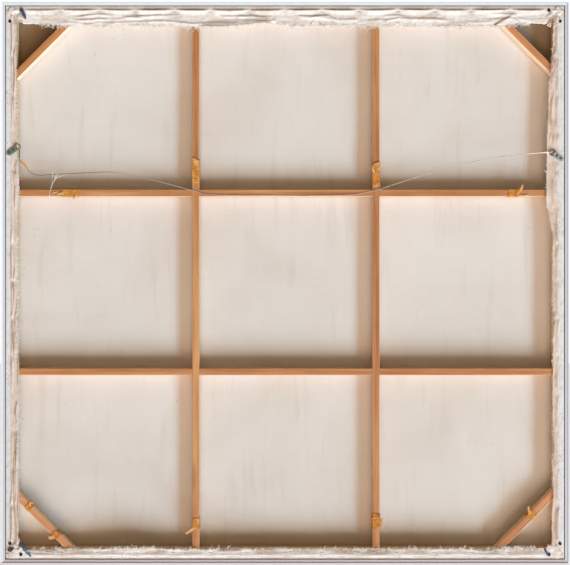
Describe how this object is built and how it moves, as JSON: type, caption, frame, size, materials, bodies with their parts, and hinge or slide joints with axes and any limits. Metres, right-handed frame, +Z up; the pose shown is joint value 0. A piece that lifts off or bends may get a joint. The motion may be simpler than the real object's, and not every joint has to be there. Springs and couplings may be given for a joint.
{
  "type": "stretched canvas",
  "caption": "Large near-square primed canvas folded over a braced wooden strainer in a thin metal strip frame, with strap hangers, hinged rings and a slack hanging wire.",
  "frame": {"origin": "middle of the bottom edge of the strip frame, at mid-depth of the whole object", "axes": "+Z up the canvas, +X to the right when the bare back is seen, +Y towards the primed front"},
  "size_m": [1.55, 0.0476, 1.534],
  "materials": {
    "strip_metal": "satin silver anodised",
    "key_metal": "bare extruded",
    "steel": "zinc plated",
    "bar_wood": "bare planed pine",
    "plywood": "bare plywood",
    "brace_wood": "bare planed pine, amber with age",
    "cross_wood": "bare planed pine, reddish amber",
    "corner_wood": "bare planed pine",
    "canvas_cloth": "raw cotton duck, white priming on the front",
    "black_steel": "black oxide",
    "strap_steel": "dull zinc plated",
    "ring_steel": "dull zinc plated, darkened",
    "wire_steel": "twisted picture wire",
    "masking_tape": "aged amber masking tape",
    "string": "white cotton twine"
  },
  "bodies": {
    "root": {"frame_strip_top": "strip_metal", "frame_strip_bottom": "strip_metal", "frame_strip_left": "strip_metal", "frame_strip_right": "strip_metal", "frame_corner_keys": "key_metal", "frame_screws": "steel", "stretcher_bar_top": "bar_wood", "stretcher_bar_bottom": "bar_wood", "stretcher_bar_left": "bar_wood", "stretcher_bar_right": "bar_wood", "corner_splines": "plywood", "upright_brace_left": "brace_wood", "upright_brace_right": "brace_wood", "cross_brace_upper": "cross_wood", "cross_brace_lower": "cross_wood", "corner_brace_top_left": "corner_wood", "corner_brace_top_right": "corner_wood", "corner_brace_bottom_left": "corner_wood", "corner_brace_bottom_right": "corner_wood", "brace_screws": "steel", "corner_brace_screws": "steel", "canvas": "canvas_cloth", "canvas_staples": "steel", "corner_screws": "black_steel", "hanger_strap_left": "strap_steel", "hanger_strap_right": "strap_steel", "hanger_screws": "black_steel", "hanging_wire": "wire_steel", "wire_tape_sleeve": "masking_tape", "string_tie": "string", "tape_upright_left": "masking_tape", "tape_upright_right": "masking_tape", "tape_cross_left": "masking_tape", "tape_cross_right": "masking_tape", "tape_upright_left_foot": "masking_tape", "tape_upright_right_foot": "masking_tape", "tape_corner_left_high": "masking_tape", "tape_corner_left_low": "masking_tape", "tape_corner_right": "masking_tape"},
    "left_ring": {"d_ring_left": "ring_steel"},
    "right_ring": {"d_ring_right": "ring_steel"}
  },
  "joints": [
    {"name": "left_ring_swing", "type": "hinge", "parent": "root", "child": "left_ring", "pos_m": [-0.73571, -0.02105, 1.1346], "axis": [0.5736, 0, -0.8192], "range_deg": [0, 90]},
    {"name": "right_ring_swing", "type": "hinge", "parent": "root", "child": "right_ring", "pos_m": [0.73571, -0.02105, 1.1186], "axis": [0.5736, 0, 0.8192], "range_deg": [0, 90]}
  ]
}
